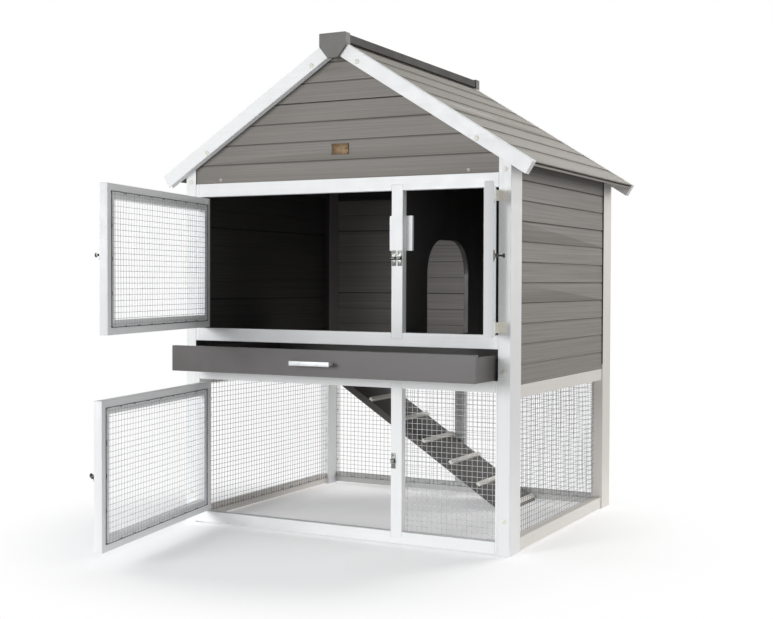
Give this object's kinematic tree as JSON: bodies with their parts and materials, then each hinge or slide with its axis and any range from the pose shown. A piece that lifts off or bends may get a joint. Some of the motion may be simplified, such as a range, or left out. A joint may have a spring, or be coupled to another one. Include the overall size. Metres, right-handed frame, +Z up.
{
  "type": "two-storey rabbit hutch",
  "caption": "Two-storey gabled rabbit hutch with lapped siding, mesh doors on hinges with barrel bolts, a pull-out tray, a cleated ramp and a wire mesh run.",
  "frame": {"origin": "on the ground under the middle of the box around the part in its rest pose, with the doors standing open", "axes": "+Z up, -Y out of the front, +X to the right of a person facing the front"},
  "size_m": [1.008, 1.3028, 1.206],
  "materials": {
    "white_board": "satin white board with a faint grain",
    "gray_siding": "warm gray lapped board, embossed grain",
    "roof_board": "light warm gray lapped board, embossed grain",
    "ridge_plastic": "smooth moulded gray",
    "inner_board": "dark gray board",
    "cleat_board": "light gray strip",
    "drawer_board": "smooth satin gray",
    "galvanised_mesh": "galvanised welded wire",
    "zinc_hardware": "bright zinc plate",
    "cream_hinge": "off-white coated butt hinge",
    "silver_handle": "satin silver",
    "painted_screw": "off-white screw heads",
    "name_plate_metal": "blank brushed plate"
  },
  "bodies": {
    "hutch": {"arch_partition": "inner_board", "barge_boards": "white_board", "bolt_keepers": "zinc_hardware", "door_stop": "white_board", "floor_bearers": "white_board", "frame_screws": "painted_screw", "front_bottom_rail": "white_board", "front_gable_boards": "gray_siding", "front_jambs": "white_board", "front_left_post": "white_board", "front_lower_rail": "white_board", "front_middle_rail": "white_board", "front_right_post": "white_board", "front_run_mesh": "galvanised_mesh", "front_top_rail": "white_board", "hinge_pins": "cream_hinge", "hinge_plates": "cream_hinge", "left_roof_boards": "roof_board", "left_run_mesh": "galvanised_mesh", "left_wall_boards": "gray_siding", "lower_centre_bar": "white_board", "name_plate": "name_plate_metal", "ramp_hinge_plates": "zinc_hardware", "ramp_landing": "inner_board", "rear_floor": "inner_board", "rear_frame": "white_board", "rear_gable_boards": "gray_siding", "rear_left_post": "white_board", "rear_right_post": "white_board", "rear_run_mesh": "galvanised_mesh", "rear_wall_boards": "gray_siding", "ridge_cap": "ridge_plastic", "ridge_end_caps": "ridge_plastic", "right_roof_boards": "roof_board", "right_run_mesh": "galvanised_mesh", "right_wall_boards": "gray_siding", "roof_battens": "white_board", "side_rails": "white_board", "upper_centre_bar": "white_board"},
    "drawer": {"drawer_front": "drawer_board", "drawer_handle": "silver_handle", "drawer_tray": "drawer_board"},
    "ramp": {"ramp_board": "inner_board", "ramp_cleats": "cleat_board", "ramp_hinge_leaves": "zinc_hardware"},
    "upper_left_door": {"upper_left_door_bolt_case": "zinc_hardware", "upper_left_door_frame": "white_board", "upper_left_door_hinge_leaves": "cream_hinge", "upper_left_door_mesh": "galvanised_mesh"},
    "upper_left_door_bolt": {"upper_left_door_bolt": "zinc_hardware"},
    "upper_right_door": {"upper_right_door_bolt_case": "zinc_hardware", "upper_right_door_frame": "white_board", "upper_right_door_hinge_leaves": "cream_hinge", "upper_right_door_mesh": "galvanised_mesh"},
    "upper_right_door_bolt": {"upper_right_door_bolt": "zinc_hardware"},
    "lower_door": {"lower_door_bolt_case": "zinc_hardware", "lower_door_frame": "white_board", "lower_door_hinge_leaves": "cream_hinge", "lower_door_mesh": "galvanised_mesh"},
    "lower_door_bolt": {"lower_door_bolt": "zinc_hardware"}
  },
  "joints": [
    {"name": "upper_left_door_hinge", "type": "hinge", "parent": "hutch", "child": "upper_left_door", "pos_m": [-0.394, -0.12335, 0.663], "axis": [0, 0, -1], "range_deg": [-78, 92]},
    {"name": "upper_right_door_hinge", "type": "hinge", "parent": "hutch", "child": "upper_right_door", "pos_m": [0.4135, -0.12335, 0.663], "axis": [0, 0, 1], "range_deg": [-111, 59]},
    {"name": "lower_door_hinge", "type": "hinge", "parent": "hutch", "child": "lower_door", "pos_m": [-0.394, -0.12335, 0.198], "axis": [0, 0, -1], "range_deg": [-79.5, 90.5]},
    {"name": "upper_left_bolt_slide", "type": "slide", "parent": "upper_left_door", "child": "upper_left_door_bolt", "axis": [0.2079, -0.9781, 0], "range_m": [0, 0.014]},
    {"name": "upper_right_bolt_slide", "type": "slide", "parent": "upper_right_door", "child": "upper_right_door_bolt", "axis": [0.3605, -0.9328, 0], "range_m": [0, 0.014]},
    {"name": "lower_bolt_slide", "type": "slide", "parent": "lower_door", "child": "lower_door_bolt", "axis": [0.1822, -0.9833, 0], "range_m": [0, 0.014]},
    {"name": "drawer_slide", "type": "slide", "parent": "hutch", "child": "drawer", "axis": [0, -1, 0], "range_m": [-0.108, 0.25]},
    {"name": "ramp_hinge", "type": "hinge", "parent": "hutch", "child": "ramp", "pos_m": [-0.345, 0.49335, 0.38615], "axis": [0, -1, 0], "range_deg": [0, 33]}
  ]
}
